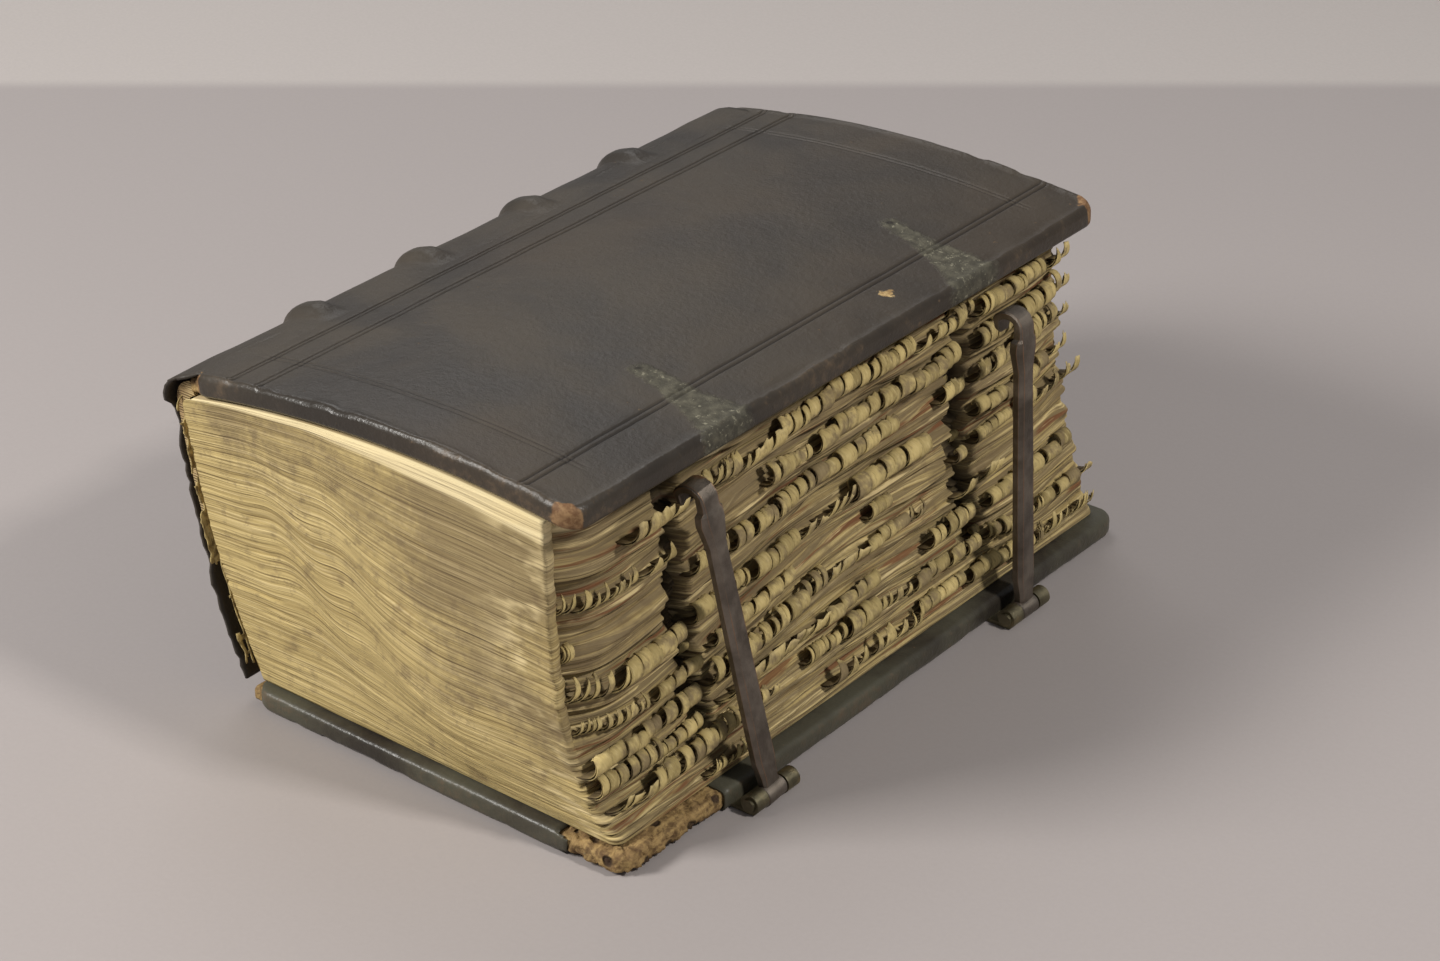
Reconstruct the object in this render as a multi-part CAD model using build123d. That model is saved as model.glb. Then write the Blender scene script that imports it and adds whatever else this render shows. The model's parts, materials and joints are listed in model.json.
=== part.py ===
"""An old leather-bound book with wooden boards, four raised bands and two brass fore-edge clasps.

The book lies on its lower cover. X runs from the spine to the fore-edge, Y from the tail to the head
and Z up. The origin is the middle of the lower cover's underside, on the surface that it lies on.
The block of leaves has slumped: its top, and the upper cover with it, stands nearer to the spine and
to the tail than its foot. All sizes are in millimetres and degrees.
"""

from build123d import *
from math import asin, atan, cos, degrees, radians, sin, sqrt
import os

# ---------------------------------------------------------------- driving dimensions
# covers, each measured from its joint edge to its fore-edge
board_length = 190.0
board_width = 110.5
board_thickness = 3.6
leather_thickness = 0.9
turn_in_thickness = 0.6
turn_in_width = 14.0
pastedown_thickness = 0.2
pastedown_margin = 5.0
cover_corner_radius = 5.0
cover_edge_radius = 1.5
upper_cover_crown = 4.5

# block of leaves; a square is what a cover stands out past the leaves
square_at_ends = 3.5
square_at_lower_fore_edge = 4.5
square_at_upper_fore_edge = 6.0
block_height_at_spine = 72.7
shoulder_radius = 3.0
fore_edge_hollow = 4.5
page_clearance = 0.2

# how the book has slumped, over the height of the block
slump_to_spine = 8.0
slump_to_tail = 4.2
slump_of_leaves = 7.5
upper_cover_tilt = 2.4

# spine
band_spacing = 36.4
middle_of_bands = -1.0
thong_width = 4.6
thong_thickness = 5.2
spine_seat = 0.02
lining_thickness = 0.4
lining_gap = 1.0
ridge_width = 7.4
ridge_height = 1.9
ridge_hollow_clearance = 0.2
ridge_stop_angle = 20.0
spine_leather_overhang = 2.0
joint_gap_angle = 3.0
split_joint_angle = 35.0
headcap_remnant_length = 4.0
endband_width = 3.4
endband_thickness = 3.6
endband_inset = 0.8
tail_endband_left = 0.45

# thongs laced into the boards
slip_width = 4.4
slip_thickness = 2.0
slip_length = 15.0
lacing_clearance = 0.03
peg_diameter = 1.8

# clasps
clasp_spacing = 98.0
middle_of_clasps = -2.0
clasp_length_past_block = 3.8
clasp_width = 6.4
clasp_thickness = 2.6
clasp_lobe_width = 7.6
clasp_neck_width = 5.4
clasp_bevel = 0.8
clasp_foot_taper = 0.7
hook_reach = 6.4
hook_drop = 5.2
hook_thickness = 1.9
hook_width = 5.0
near_clasp_lean = 9.5
far_clasp_lean = 3.0
near_clasp_sway = 5.5
far_clasp_sway = 0.0
knuckle_radius = 2.4
knuckle_width = 6.4
knuckle_gap = 0.25
pin_radius = 1.0
pin_running_clearance = 0.06
pin_head_radius = 1.6
pin_head_thickness = 0.7
hinge_overhang = 4.7
hinge_plate_width = 15.0
hinge_plate_length = 28.0
hinge_plate_clearance = 0.15
rivet_radius = 0.9

# wear
clasp_wear_width = 14.0
clasp_wear_depth = 5.0
clasp_wear_height = 24.0
torn_corner_length = 36.0
torn_corner_depth = 12.0
worm_bite_radius = 3.0

# ---------------------------------------------------------------- places worked out from them
board_inner = leather_thickness + board_thickness
turn_in_top = board_inner + turn_in_thickness
cover_thickness = turn_in_top + pastedown_thickness
block_foot = cover_thickness + page_clearance
block_length = board_length - 2 * square_at_ends
block_width_at_foot = board_width - square_at_lower_fore_edge
block_width_at_top = board_width - square_at_upper_fore_edge
lower_joint_x = -board_width / 2
upper_joint_x = lower_joint_x - slump_to_spine
upper_joint_z = block_foot + block_height_at_spine + page_clearance + cover_thickness
upper_place = Pos(upper_joint_x, -slump_to_tail, upper_joint_z) * Rot(0, -upper_cover_tilt, 0)
band_places = [middle_of_bands + band_spacing * step for step in (-1.5, -0.5, 0.5, 1.5)]
clasp_length = block_height_at_spine + clasp_length_past_block
clasp_places = {
    "near": middle_of_clasps - clasp_spacing / 2,
    "far": middle_of_clasps + clasp_spacing / 2,
}
clasp_leans = {"near": near_clasp_lean, "far": far_clasp_lean}
clasp_sways = {"near": near_clasp_sway, "far": far_clasp_sway}
hinge_x = lower_joint_x + board_width + hinge_overhang
hinge_z = knuckle_radius
far_beyond = 400.0


def span(low, high):
    """A box from one corner to the other."""
    size = [high[k] - low[k] for k in range(3)]
    middle = [(high[k] + low[k]) / 2 for k in range(3)]
    return Pos(*middle) * Box(*size)


def plate(points, low_z, high_z):
    """A flat plate with this outline in the XY plane."""
    outline = make_face(Polyline(*points, close=True))
    return Pos(0, 0, low_z) * extrude(outline, amount=high_z - low_z, dir=(0, 0, 1))


def slice_along_y(edges, low_y, high_y):
    """A prism whose section in the XZ plane has these edges."""
    face = make_face(edges)
    return Pos(0, low_y, 0) * extrude(face, amount=high_y - low_y, dir=(0, 1, 0))


def leaning_slab(low_y, high_y, lean):
    """All the space between two planes that slump towards the tail by this much over the block."""
    foot, top = block_foot - far_beyond, block_foot + far_beyond
    shift = lean * far_beyond / (upper_joint_z - block_foot)
    outline = Polyline(
        (0, low_y + shift, foot),
        (0, high_y + shift, foot),
        (0, high_y - shift, top),
        (0, low_y - shift, top),
        close=True,
    )
    return Pos(-far_beyond, 0, 0) * extrude(make_face(outline), amount=2 * far_beyond, dir=(1, 0, 0))


def group(parts):
    return Compound(children=list(parts))


def on_upper(part):
    """Turns a piece built for a cover that lies outer face down into the upper cover's place."""
    return upper_place * mirror(part, about=Plane.XY)


def bowed_height(along, depth, crown):
    """How high a layer of a cover lies over its flat outer face's plane, in a cover bowed outwards."""
    if crown == 0:
        return depth
    bow_radius = (board_width**2 / 4 + crown**2) / (2 * crown)
    return bow_radius - crown - sqrt((bow_radius - depth) ** 2 - (along - board_width / 2) ** 2)


def upper_inner_point(along):
    """A point in XZ a page's clearance under the upper cover, so far along it from the joint edge."""
    tilt = radians(upper_cover_tilt)
    depth = bowed_height(along, cover_thickness + page_clearance, upper_cover_crown)
    return (
        upper_joint_x + along * cos(tilt) + depth * sin(tilt),
        upper_joint_z + along * sin(tilt) - depth * cos(tilt),
    )


def xz(point):
    return (point[0], 0, point[1])


# ---------------------------------------------------------------- block of leaves
# The spine's line is a long arc from the foot, and a tight arc over the shoulder that meets the top.
spine_foot = (lower_joint_x, block_foot)
fore_foot = (lower_joint_x + block_width_at_foot, block_foot)
spine_top = upper_inner_point(0.0)
fore_top = upper_inner_point(block_width_at_top)
fore_middle = ((fore_foot[0] + fore_top[0]) / 2 - fore_edge_hollow, (fore_foot[1] + fore_top[1]) / 2)
bow_angle = 2 * degrees(atan(2 * upper_cover_crown / board_width))
shoulder_end = 90 + upper_cover_tilt + bow_angle
shoulder_centre = (
    spine_top[0] - shoulder_radius * cos(radians(shoulder_end)),
    spine_top[1] - shoulder_radius * sin(radians(shoulder_end)),
)
to_foot = (spine_foot[0] - shoulder_centre[0] + shoulder_radius, shoulder_centre[1] - spine_foot[1])
back_radius = (to_foot[0] ** 2 + to_foot[1] ** 2) / (2 * to_foot[0])
back_centre = (shoulder_centre[0] - shoulder_radius + back_radius, shoulder_centre[1])
foot_angle = 180 + degrees(asin(to_foot[1] / back_radius))


def polar(centre, radius, angle):
    """A point in XZ at this angle about a centre."""
    return (centre[0] + radius * cos(radians(angle)), centre[1] + radius * sin(radians(angle)))


def spine_line(offset, from_angle=None, to_angle=None):
    """The spine's line at this distance from the leaves, as edges from the top down to the foot.

    The angles stop it short: from_angle on the shoulder's arc, to_angle on the long one.
    """
    start = shoulder_end if from_angle is None else from_angle
    stop = foot_angle if to_angle is None else to_angle
    tight, long = shoulder_radius + offset, back_radius + offset
    edges = []
    if start < 180:
        points = [polar(shoulder_centre, tight, angle) for angle in (start, (start + 180) / 2, 180)]
        edges += [ThreePointArc(*[xz(point) for point in points])]
    if stop > 180:
        points = [polar(back_centre, long, angle) for angle in (180, (180 + stop) / 2, stop)]
        edges += [ThreePointArc(*[xz(point) for point in points])]
    return edges


def spine_sheet(inner, outer, low_y, high_y, lean, from_angle=None, to_angle=None):
    """A sheet that follows the spine, between two distances from the leaves."""
    near, far = spine_line(inner, from_angle, to_angle), spine_line(outer, from_angle, to_angle)
    ends = [Line(near[0] @ 0, far[0] @ 0), Line(near[-1] @ 1, far[-1] @ 1)]
    sheet = slice_along_y(Wire([*near, *far, *ends]), -far_beyond, far_beyond)
    return sheet & leaning_slab(low_y, high_y, lean)


def text_block():
    """All the leaves in one solid, with the grooves that the clasps have worn in the fore-edge."""
    section = Wire(
        [
            Line(xz(spine_foot), xz(fore_foot)),
            ThreePointArc(xz(fore_foot), xz(fore_middle), xz(fore_top)),
            ThreePointArc(xz(fore_top), xz(upper_inner_point(block_width_at_top / 2)), xz(spine_top)),
            *spine_line(0),
        ]
    )
    leaves = slice_along_y(section, -far_beyond, far_beyond)
    block = leaves & leaning_slab(-block_length / 2, block_length / 2, slump_of_leaves)
    groove_floor = fore_top[0] - clasp_wear_depth
    groove_foot = fore_top[1] - clasp_wear_height
    for end, y in clasp_places.items():
        groove = Polyline(
            (groove_floor, 0, far_beyond),
            (groove_floor, 0, groove_foot + clasp_wear_depth),
            (groove_floor + 2 * clasp_wear_depth, 0, groove_foot - clasp_wear_depth),
            (groove_floor + 2 * clasp_wear_depth, 0, far_beyond),
            close=True,
        )
        hook_y = y - clasp_length * sin(radians(clasp_sways[end]))
        low_y = hook_y - clasp_wear_width / 2
        block -= Pos(0, low_y, 0) * extrude(make_face(groove), amount=clasp_wear_width, dir=(0, 1, 0))
    return block


def sewing_thong(y):
    """A thong of white-tawed skin that the leaves are sewn to, across the spine."""
    half = thong_width / 2
    return spine_sheet(spine_seat, spine_seat + thong_thickness, y - half, y + half, slump_of_leaves)


def spine_linings():
    """Linen glued to the folds between the thongs."""
    end = block_length / 2 - endband_inset - endband_width - lining_gap
    edges = [-end]
    for y in band_places:
        edges += [y - thong_width / 2 - lining_gap, y + thong_width / 2 + lining_gap]
    edges += [end]
    inner, outer = spine_seat, spine_seat + lining_thickness
    return group(
        spine_sheet(inner, outer, edges[k], edges[k + 1], slump_of_leaves) for k in range(0, len(edges), 2)
    )


def endband(low_y, to_angle=None):
    """A core that the first and last holes are sewn over, at one end of the spine."""
    inner, outer = spine_seat, spine_seat + endband_thickness
    return spine_sheet(inner, outer, low_y, low_y + endband_width, slump_of_leaves, to_angle=to_angle)


def tail_endband():
    """Only the upper part is left."""
    lowest_left = 180 + tail_endband_left * (foot_angle - 180)
    return endband(-block_length / 2 + endband_inset, lowest_left)


def head_endband():
    return endband(block_length / 2 - endband_inset - endband_width)


def spine_leather():
    """The leather on the spine, loose from the folds, with a ridge over each thong.

    It stands off the leaves by the covers' thickness and ends short of both joints, where it flexes or
    is split. What is left of the turned-in cap at the tail stands out past the covers.
    """
    outer = cover_thickness + page_clearance
    inner = outer - leather_thickness
    low_y, high_y = -board_length / 2 + spine_leather_overhang, board_length / 2 - spine_leather_overhang
    top_stop = shoulder_end + joint_gap_angle
    leather = spine_sheet(inner, outer, low_y, high_y, slump_to_tail, top_stop)
    leather += spine_sheet(
        inner, outer, low_y - headcap_remnant_length, low_y + 1, slump_to_tail, top_stop, 180 + joint_gap_angle
    )
    curl = Plane(origin=(spine_foot[0], -far_beyond, spine_foot[1]), z_dir=(0, 1, 0))
    ring = curl * extrude(Circle(outer) - Circle(inner), 2 * far_beyond)
    reach = [polar(spine_foot, 3 * outer, foot_angle + share * split_joint_angle) for share in (0, 0.5, 1)]
    wedge = make_face(Polyline(xz(spine_foot), *[xz(point) for point in reach], close=True))
    ring &= Pos(0, -far_beyond, 0) * extrude(wedge, amount=2 * far_beyond, dir=(0, 1, 0))
    leather += ring & leaning_slab(low_y, high_y, slump_to_tail)
    for y in band_places:
        half, inside_half = ridge_width / 2, thong_width / 2 + ridge_hollow_clearance
        ridge_stop = shoulder_end + ridge_stop_angle
        leather += spine_sheet(
            inner, outer + ridge_height, y - half, y + half, slump_of_leaves, ridge_stop
        )
        leather -= spine_sheet(
            inner - 1,
            spine_seat + thong_thickness + ridge_hollow_clearance,
            y - inside_half,
            y + inside_half,
            slump_of_leaves,
        )
    return leather


# ---------------------------------------------------------------- covers
# Each is built outer face down, with its joint edge at x = 0, and then put in its place.
# Its layers go by their depth under the outer face: leather, board, turn-ins and pastedown.
def layer(low, high, from_x, to_x, half_length, crown):
    """Part of a cover between two depths, as wide and as long as given."""

    def point(x, depth):
        return (x, 0, bowed_height(x, depth, crown))

    def side(depth, start, stop):
        if crown == 0:
            return Line(point(start, depth), point(stop, depth))
        return ThreePointArc(point(start, depth), point((start + stop) / 2, depth), point(stop, depth))

    edges = [
        side(low, from_x, to_x),
        Line(point(to_x, low), point(to_x, high)),
        side(high, to_x, from_x),
        Line(point(from_x, high), point(from_x, low)),
    ]
    return slice_along_y(Wire(edges), -half_length, half_length)


def rounded_layer(inset, low, high, radius, crown):
    """A layer drawn in by an inset on its three free edges, which are rounded."""
    slab = layer(low, high, 0, board_width - inset, board_length / 2 - inset, crown)
    corners = slab.edges().filter_by(Axis.Z).group_by(Axis.X)[-1]
    slab = fillet(corners, cover_corner_radius - inset)
    faces = slab.faces().sort_by(SortBy.AREA)[-2:]
    free = [edge for face in faces for edge in face.edges() if edge.center().X > radius]
    return fillet(free, radius)


def torn_corner(depth, length):
    """The outline of what is gone at the lower cover's fore-edge corner at the tail."""
    edge, tail = board_width + 1, -board_length / 2 - 1
    return plate(
        [
            (edge, tail),
            (edge, tail + length),
            (edge - 0.2 * depth, tail + length * 0.9),
            (edge - 0.45 * depth, tail + length * 0.55),
            (edge - 0.6 * depth, tail + length * 0.22),
            (edge - depth, tail + length * 0.12),
            (edge - depth - 2, tail),
        ],
        -1,
        cover_thickness + 1,
    )


def through_board(y, radius, crown):
    """A round hole or peg straight through the board, where the thongs go down."""
    rod = Pos(slip_length, y, 0) * Cylinder(radius, 6 * cover_thickness)
    return rod & layer(leather_thickness, board_inner, 0, board_width, board_length / 2, crown)


def slip(y, crown, wider=0.0):
    """A thong's end: in a channel over the board's outer face, then down through the board."""
    half = slip_width / 2 + wider
    inner = leather_thickness + slip_thickness + wider
    channel = layer(leather_thickness, inner, leather_thickness, slip_length, half, crown)
    return Pos(0, y, 0) * channel + through_board(y, half, crown)


def slips(crown):
    open_for_pegs = peg_diameter / 2 + lacing_clearance
    return group(slip(y, crown) - through_board(y, open_for_pegs, crown) for y in band_places)


def pegs(crown):
    return group(through_board(y, peg_diameter / 2, crown) for y in band_places)


def board_edge_radius():
    return cover_edge_radius - leather_thickness / 2


def wooden_board(crown):
    board = rounded_layer(leather_thickness, leather_thickness, board_inner, board_edge_radius(), crown)
    for y in band_places:
        board -= slip(y, crown, lacing_clearance)
    return board


def cover_leather(crown):
    """Leather drawn over the outer face and three edges, and turned in on the inner face."""
    leather = rounded_layer(0, 0, turn_in_top, cover_edge_radius, crown)
    leather -= rounded_layer(leather_thickness, leather_thickness, board_inner, board_edge_radius(), crown)
    half = board_length / 2 - turn_in_width
    return leather - layer(board_inner, cover_thickness + 1, -1, board_width - turn_in_width, half, crown)


def pastedown(crown):
    """The paper glued inside: it fills the turn-ins' window and laps over them."""
    half = board_length / 2 - turn_in_width
    window = layer(board_inner, turn_in_top, 0, board_width - turn_in_width, half, crown)
    lap_half = board_length / 2 - pastedown_margin
    lap = layer(turn_in_top, cover_thickness, 0, board_width - pastedown_margin, lap_half, crown)
    return window + lap


# ---------------------------------------------------------------- clasps
def plate_outline(clearance=0.0):
    """The hinge plate's plan, in the lower cover's frame and centred on y = 0."""
    half = hinge_plate_width / 2 + clearance
    edge = board_width + hinge_overhang
    back = board_width - hinge_plate_length - clearance
    shoulder, waist = board_width - 0.45 * hinge_plate_length, board_width - 0.72 * hinge_plate_length
    upper_side = [(edge, half), (shoulder, half), (waist, 0.55 * half), (back + 2, 0.5 * half), (back, 0.2 * half)]
    lower_side = [(x, -y) for x, y in reversed(upper_side)]
    return upper_side + lower_side


def hinge_plate(y):
    """The brass plate let into the leather under the lower board, ending in two knuckles."""
    leaf = plate(plate_outline(), 0, leather_thickness)
    barrel_place = Plane(origin=(board_width + hinge_overhang, -hinge_plate_width / 2, hinge_z), z_dir=(0, 1, 0))
    body = leaf + barrel_place * extrude(Circle(knuckle_radius), hinge_plate_width)
    slot_half = knuckle_width / 2 + knuckle_gap
    slot_back = board_width + hinge_overhang - knuckle_radius - knuckle_gap
    body -= span((slot_back, -slot_half, -1), (board_width + far_beyond, slot_half, 3 * knuckle_radius))
    body -= barrel_place * extrude(Circle(pin_radius), hinge_plate_width)
    for x, across in rivet_places():
        body -= Pos(x, across, 0) * Cylinder(rivet_radius, 4 * leather_thickness)
    return Pos(lower_joint_x, y, 0) * body


def rivet_places():
    near_edge = board_width - 0.25 * hinge_plate_length
    near_tip = board_width - 0.86 * hinge_plate_length
    return [(near_edge, 0.28 * hinge_plate_width), (near_edge, -0.28 * hinge_plate_width), (near_tip, 0)]


def rivets():
    """Three to a plate, filed flush under the cover and hidden by the pastedown inside."""
    found = []
    for y in clasp_places.values():
        for x, across in rivet_places():
            shank = Pos(lower_joint_x + x, y + across, board_inner / 2) * Cylinder(rivet_radius, board_inner)
            found.append(shank)
    return group(found)


def hinge_pin(y):
    """A wire pin, its two ends hammered over."""
    ends = hinge_plate_width / 2
    middle = Plane(origin=(hinge_x, y - ends, hinge_z), z_dir=(0, 1, 0))
    pin = middle * extrude(Circle(pin_radius), hinge_plate_width)
    for start in (y - ends - pin_head_thickness, y + ends):
        head = Plane(origin=(hinge_x, start, hinge_z), z_dir=(0, 1, 0)) * extrude(
            Circle(pin_head_radius), pin_head_thickness
        )
        pin += head
    return pin


def clasp(y, lean, sway):
    """A cast bar with a knuckle at its foot, a filed lobe near its top and a hook turned inwards."""
    lobe, step, neck = clasp_length - 8.0, clasp_length - 4.2, clasp_length - 14.0
    half, half_lobe, half_neck = clasp_width / 2, clasp_lobe_width / 2, clasp_neck_width / 2
    right_side = [
        (half - clasp_foot_taper, 0),
        (half - clasp_foot_taper, 1.5 * knuckle_radius),
        (half, 3.5 * knuckle_radius),
        (half_neck, neck),
        (half_lobe - 0.3, lobe - 1.6),
        (half_lobe, lobe),
        (half_lobe - 0.3, lobe + 1.6),
        (half_neck, step),
        (half_neck + 0.4, clasp_length),
    ]
    outline = [(0, across, up) for across, up in right_side]
    outline += [(0, -across, up) for across, up in reversed(right_side)]
    face = make_face(Polyline(*outline, close=True))
    bar = Pos(-clasp_thickness / 2, 0, 0) * extrude(face, amount=clasp_thickness, dir=(1, 0, 0))
    front = [
        edge
        for edge in bar.faces().sort_by(Axis.X)[-1].edges()
        if 1.0 < edge.center().Z < step + 0.5
    ]
    bar = chamfer(front, clasp_bevel)
    inside, reach = -clasp_thickness / 2, -clasp_thickness / 2 - hook_reach
    hook = Polyline(
        (inside + 1, 0, clasp_length),
        (inside + 1, 0, clasp_length - hook_thickness),
        (reach + hook_thickness, 0, clasp_length - hook_thickness),
        (reach + hook_thickness * 0.7, 0, clasp_length - hook_drop),
        (reach, 0, clasp_length - hook_drop + 0.5),
        (reach - 0.4, 0, clasp_length - 1.6),
        (reach + 1.0, 0, clasp_length - 0.2),
        close=True,
    )
    bar += Pos(0, -hook_width / 2, 0) * extrude(make_face(hook), amount=hook_width, dir=(0, 1, 0))
    bar = Rot(sway, 0, 0) * bar
    barrel = Plane(origin=(0, -knuckle_width / 2, 0), z_dir=(0, 1, 0))
    bar += barrel * extrude(Circle(knuckle_radius), knuckle_width)
    bore = Plane(origin=(0, -knuckle_width, 0), z_dir=(0, 1, 0)) * Circle(pin_radius + pin_running_clearance)
    bar -= extrude(bore, amount=2 * knuckle_width, dir=(0, 1, 0))
    return Pos(hinge_x, y, hinge_z) * Rot(0, -lean, 0) * bar


# ---------------------------------------------------------------- the lower cover's own wear and cut-outs
def lower_board():
    """The board with worm bites where the leather is gone, and its rivet holes."""
    board = wooden_board(0)
    tail, edge = -board_length / 2 + leather_thickness, board_width - leather_thickness
    bites = [(edge + 1.4, tail + 9, 1.0), (edge + 1.2, tail + 21, 0.8), (edge - 6, tail - 1.6, 0.9)]
    for x, y, share in bites:
        board -= Pos(x, y, board_inner / 2) * Cylinder(worm_bite_radius * share, 2 * board_inner)
    for y in clasp_places.values():
        for x, across in rivet_places():
            board -= Pos(x, y + across, board_inner / 2) * Cylinder(rivet_radius, 2 * board_inner)
    return Pos(lower_joint_x, 0, 0) * board


def lower_leather():
    leather = cover_leather(0) - torn_corner(torn_corner_depth, torn_corner_length)
    for y in clasp_places.values():
        cut = plate(plate_outline(hinge_plate_clearance), -1, leather_thickness)
        half = hinge_plate_width / 2 + hinge_plate_clearance
        edge_cut = span((board_width - leather_thickness, -half, -1), (board_width + 1, half, cover_thickness + 1))
        leather -= Pos(0, y, 0) * (cut + edge_cut)
        leather -= Pos(0, y, 0) * span(
            (board_width - 2.2 * leather_thickness, -half, board_inner), (board_width + 1, half, cover_thickness + 1)
        )
    return Pos(lower_joint_x, 0, 0) * leather


nodes = {
    "lower_board": lower_board(),
    "lower_leather": lower_leather(),
    "lower_pastedown": Pos(lower_joint_x, 0, 0) * pastedown(0),
    "lower_thong_slips": Pos(lower_joint_x, 0, 0) * slips(0),
    "lower_pegs": Pos(lower_joint_x, 0, 0) * pegs(0),
    "upper_board": on_upper(wooden_board(upper_cover_crown)),
    "upper_leather": on_upper(cover_leather(upper_cover_crown)),
    "upper_pastedown": on_upper(pastedown(upper_cover_crown)),
    "upper_thong_slips": on_upper(slips(upper_cover_crown)),
    "upper_pegs": on_upper(pegs(upper_cover_crown)),
    "text_block": text_block(),
    "spine_leather": spine_leather(),
    "spine_linings": spine_linings(),
    "tail_endband": tail_endband(),
    "head_endband": head_endband(),
    "hinge_plate_rivets": rivets(),
}
for number, y in enumerate(band_places, 1):
    nodes[f"sewing_thong_{number}"] = sewing_thong(y)
for end, y in clasp_places.items():
    nodes[f"hinge_plate_{end}"] = hinge_plate(y)
    nodes[f"hinge_pin_{end}"] = hinge_pin(y)
    nodes[f"clasp_{end}"] = clasp(y, clasp_leans[end], clasp_sways[end])

os.makedirs("parts", exist_ok=True)
for name, part in nodes.items():
    export_step(part, f"parts/{name}.step")
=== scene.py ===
import json
import math

import bmesh
import bpy
import numpy as np
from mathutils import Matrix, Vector


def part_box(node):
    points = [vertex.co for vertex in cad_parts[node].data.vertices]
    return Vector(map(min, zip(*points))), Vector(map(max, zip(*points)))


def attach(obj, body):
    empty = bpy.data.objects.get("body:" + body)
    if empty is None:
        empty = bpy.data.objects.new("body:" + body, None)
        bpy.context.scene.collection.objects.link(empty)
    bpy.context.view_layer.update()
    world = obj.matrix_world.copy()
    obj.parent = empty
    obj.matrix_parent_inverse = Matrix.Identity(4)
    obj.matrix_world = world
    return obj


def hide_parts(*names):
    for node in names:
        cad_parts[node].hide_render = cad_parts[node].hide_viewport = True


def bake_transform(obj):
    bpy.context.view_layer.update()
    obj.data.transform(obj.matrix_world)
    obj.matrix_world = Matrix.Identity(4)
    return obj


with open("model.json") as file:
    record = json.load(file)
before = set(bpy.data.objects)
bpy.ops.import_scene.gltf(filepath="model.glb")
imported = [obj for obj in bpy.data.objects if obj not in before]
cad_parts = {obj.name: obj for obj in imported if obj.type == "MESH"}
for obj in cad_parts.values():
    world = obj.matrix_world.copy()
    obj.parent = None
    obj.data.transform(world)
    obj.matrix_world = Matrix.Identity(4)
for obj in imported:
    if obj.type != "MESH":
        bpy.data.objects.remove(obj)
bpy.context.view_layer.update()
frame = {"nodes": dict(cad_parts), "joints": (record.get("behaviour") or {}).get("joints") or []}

MM = 0.001


# ========================================================================
# The table that the book lies on, the soft light on it, and the eye that looks at it.
# A pale grey sheet of paper covers the table. A large lamp stands before the book on its left, a small one
# on its right, and a weak one behind it on its left.
# ========================================================================
class Socket:
    """An output in a node tree, so that shader maths is written as plain expressions."""

    def __init__(self, finish, output):
        self.finish = finish
        self.output = output

    def math(self, operation, *others):
        return self.finish.node("Math", {"operation": operation}, dict(enumerate((self, *others))))

    def __add__(self, other):
        return self.math("ADD", other)

    def __sub__(self, other):
        return self.math("SUBTRACT", other)

    def __mul__(self, other):
        return self.math("MULTIPLY", other)

    def __truediv__(self, other):
        return self.math("DIVIDE", other)

    def __rsub__(self, other):
        return self * -1.0 + other

    def __rtruediv__(self, other):
        return self.math("POWER", -1.0) * other

    __radd__ = __add__
    __rmul__ = __mul__

    def above(self, low, high):
        """0 below low and 1 above high, smooth between; the other way round if low is the larger."""
        settings = {"interpolation_type": "SMOOTHSTEP"}
        bounds = {"Value": self, "From Min": min(low, high), "From Max": max(low, high)}
        if low > high:
            bounds |= {"To Min": 1.0, "To Max": 0.0}
        return self.finish.node("MapRange", settings, bounds)


class Finish:
    """A material while it is made: node() makes any node, and the other methods only name common ones."""

    def __init__(self, name, roughness=0.6, **constants):
        self.material = bpy.data.materials.new(name)
        self.material.use_nodes = True
        self.tree = self.material.node_tree
        self.shader = self.tree.nodes["Principled BSDF"]
        self.shader.inputs["Roughness"].default_value = roughness
        for socket, value in constants.items():
            self.shader.inputs[socket.replace("_", " ")].default_value = value
        self.place = self.node("TexCoord", output="Object")

    def node(self, kind, settings=(), sockets=(), output=0):
        made = self.tree.nodes.new("ShaderNode" + kind)
        for key, value in dict(settings).items():
            setattr(made, key, value)
        for key, value in dict(sockets).items():
            self.feed(made.inputs[key], value)
        return Socket(self, made.outputs[output])

    def feed(self, socket, value):
        if isinstance(value, Socket):
            self.tree.links.new(value.output, socket)
        else:
            socket.default_value = value

    def axis(self, name):
        """The place along one axis, in millimetres."""
        return self.node("SeparateXYZ", (), {0: self.place}, name) * 1000.0

    def attribute(self, name):
        return self.node("Attribute", {"attribute_name": name}, (), "Fac")

    def vector(self, x=0.0, y=0.0, z=0.0):
        return self.node("CombineXYZ", (), {0: x, 1: y, 2: z})

    def noise(self, scale, vector=None, detail=3.0, roughness=0.55, distortion=0.0):
        """Cloudy values about one half, at so many per metre, or per unit of the vector given."""
        sockets = {"Vector": vector or self.place, "Scale": scale, "Detail": detail}
        sockets |= {"Roughness": roughness, "Distortion": distortion}
        return self.node("TexNoise", (), sockets, "Fac")

    def cells(self, scale):
        """How far a point is from the middle of its cell, at so many cells per metre."""
        return self.node("TexVoronoi", {"feature": "F1"}, {"Vector": self.place, "Scale": scale}, "Distance")

    def mix(self, mask, under, over):
        """The colour under where the mask is 0, and the colour over where it is 1."""
        under = (*under, 1.0) if isinstance(under, tuple) else under
        over = (*over, 1.0) if isinstance(over, tuple) else over
        return self.node("Mix", {"data_type": "RGBA", "clamp_factor": True}, {0: mask, 6: under, 7: over}, 2)

    def colour(self, value):
        self.feed(self.shader.inputs["Base Color"], value)

    def rough(self, value):
        self.feed(self.shader.inputs["Roughness"], value)

    def bump(self, height, distance):
        """Raises the surface by up to this many metres; calls add up."""
        normal = self.shader.inputs["Normal"]
        sockets = {"Height": height, "Distance": distance, "Strength": 1.0}
        for link in normal.links:
            sockets["Normal"] = Socket(self, link.from_socket)
        self.feed(normal, self.node("Bump", (), sockets))


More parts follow.
